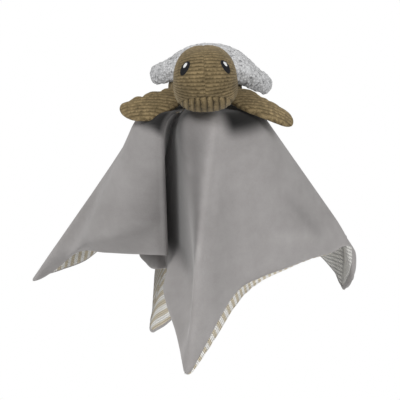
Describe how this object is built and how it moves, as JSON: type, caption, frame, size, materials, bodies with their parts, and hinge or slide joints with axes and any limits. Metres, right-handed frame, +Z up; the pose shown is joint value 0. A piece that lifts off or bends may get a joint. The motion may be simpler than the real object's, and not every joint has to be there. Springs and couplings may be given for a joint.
{
  "type": "comfort blanket",
  "caption": "Square comfort blanket of velour and striped knit, hanging in folds below a small stuffed sea turtle whose head tilts and whose front flippers lift.",
  "frame": {"origin": "middle of the blanket's flat centre, on its underside", "axes": "+Z up, -Y towards the viewer and the front corner, +X to the viewer's right"},
  "size_m": [0.2825, 0.1644, 0.2806],
  "materials": {
    "velour_grey": "short smooth pile",
    "knit_stripe": "fine ribbed knit with tan and off-white stripes",
    "corduroy_olive": "wide corduroy",
    "boucle_grey": "looped knit with dark flecks",
    "fibrefill_white": "loose stuffing",
    "thread_black": "satin embroidery",
    "thread_white": "satin embroidery"
  },
  "bodies": {
    "blanket": {"blanket_velour_panel": "velour_grey", "blanket_knit_panel": "knit_stripe", "body_back_panel": "corduroy_olive", "body_belly_panel": "corduroy_olive", "body_stuffing": "fibrefill_white", "shell_top_panel": "boucle_grey", "shell_underside_panel": "boucle_grey", "shell_stuffing": "fibrefill_white"},
    "head": {"head_left_panel": "corduroy_olive", "head_right_panel": "corduroy_olive", "head_chin_panel": "corduroy_olive", "head_stuffing": "fibrefill_white", "left_eye": "thread_black", "right_eye": "thread_black", "left_eye_glint": "thread_white", "right_eye_glint": "thread_white"},
    "left_flipper": {"left_flipper_front_panel": "corduroy_olive", "left_flipper_back_panel": "corduroy_olive", "left_flipper_stuffing": "fibrefill_white"},
    "right_flipper": {"right_flipper_front_panel": "corduroy_olive", "right_flipper_back_panel": "corduroy_olive", "right_flipper_stuffing": "fibrefill_white"}
  },
  "joints": [
    {"name": "head_tilt", "type": "hinge", "parent": "blanket", "child": "head", "pos_m": [-0.00035, -0.01793, 0.03881], "axis": [0.0144, -0.9613, -0.2753], "range_deg": [-25, 25], "stiffness_Nm_per_rad": 0.03},
    {"name": "left_flipper_lift", "type": "hinge", "parent": "blanket", "child": "left_flipper", "pos_m": [-0.024, -0.014, 0.0115], "axis": [-0.2307, 0.8225, 0.5198], "range_deg": [0, 36], "stiffness_Nm_per_rad": 0.015},
    {"name": "right_flipper_lift", "type": "hinge", "parent": "blanket", "child": "right_flipper", "pos_m": [0.024, -0.014, 0.0115], "axis": [-0.2308, -0.9039, -0.3602], "range_deg": [0, 36], "stiffness_Nm_per_rad": 0.015}
  ]
}
